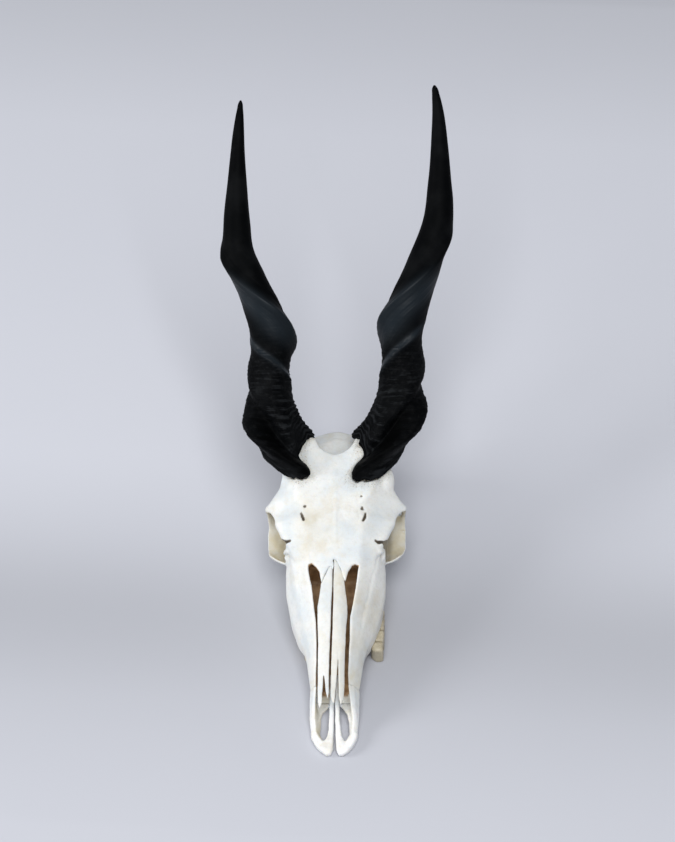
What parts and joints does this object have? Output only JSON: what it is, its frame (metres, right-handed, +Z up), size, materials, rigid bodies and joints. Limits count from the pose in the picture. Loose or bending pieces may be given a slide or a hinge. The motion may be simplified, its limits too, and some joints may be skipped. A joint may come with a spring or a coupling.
{
  "type": "eland skull",
  "caption": "Eland skull without its lower jaw: bleached cranium, long forked nasal bones, open premaxillae and ridged black spiral horns sweeping backwards.",
  "frame": {"origin": "centre of the bounding box's bottom face, on the surface that the skull rests on, under the middle of the whole length from premaxilla tips to horn tips", "axes": "+X to the animal's left, +Y backwards from the muzzle to the horn tips, +Z up from the surface it rests on"},
  "size_m": [0.2991, 0.742, 0.4222],
  "materials": {
    "bleached_bone": "dry bleached bone, matt, with ivory and faint yellow stains",
    "black_keratin": "black horn keratin, rough and wrinkled at the base, satin towards the tip",
    "tooth_enamel": "stained enamel, semi-matt"
  },
  "bodies": {
    "root": {"cranium": "bleached_bone", "nasal_left": "bleached_bone", "nasal_right": "bleached_bone", "premaxilla_left": "bleached_bone", "premaxilla_right": "bleached_bone", "horn_sheath_left": "black_keratin", "horn_sheath_right": "black_keratin", "premolar_2_left": "tooth_enamel", "premolar_3_left": "tooth_enamel", "premolar_4_left": "tooth_enamel", "molar_1_left": "tooth_enamel", "molar_2_left": "tooth_enamel", "molar_3_left": "tooth_enamel", "premolar_2_right": "tooth_enamel", "premolar_3_right": "tooth_enamel", "premolar_4_right": "tooth_enamel", "molar_1_right": "tooth_enamel", "molar_2_right": "tooth_enamel", "molar_3_right": "tooth_enamel"}
  },
  "joints": []
}
